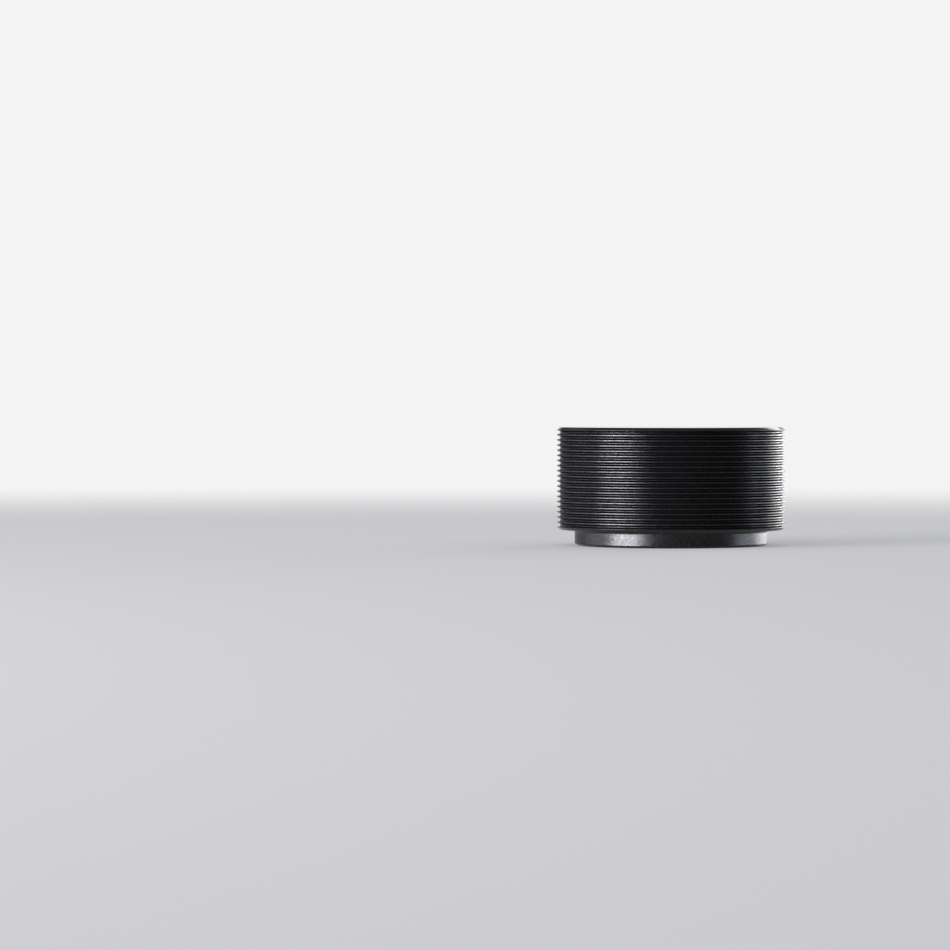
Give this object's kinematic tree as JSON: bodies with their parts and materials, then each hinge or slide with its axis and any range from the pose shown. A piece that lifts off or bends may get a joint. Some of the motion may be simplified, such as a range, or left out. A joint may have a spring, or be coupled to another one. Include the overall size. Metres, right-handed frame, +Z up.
{
  "type": "record weight clamp",
  "caption": "Small round black weight with a finely ribbed side and a narrower foot, dropped over a turntable's spindle to hold a record's label down flat.",
  "frame": {"origin": "on the turning axis, in the plane of the foot's underside, which rests on the record", "axes": "+Z up along the turning axis, from the foot to the flat top; X and Y are equivalent"},
  "size_m": [0.0446, 0.0446, 0.0231],
  "materials": {
    "black_anodised": "fine bead-blasted and anodised black, satin"
  },
  "bodies": {
    "root": {"weight_body": "black_anodised"}
  },
  "joints": []
}
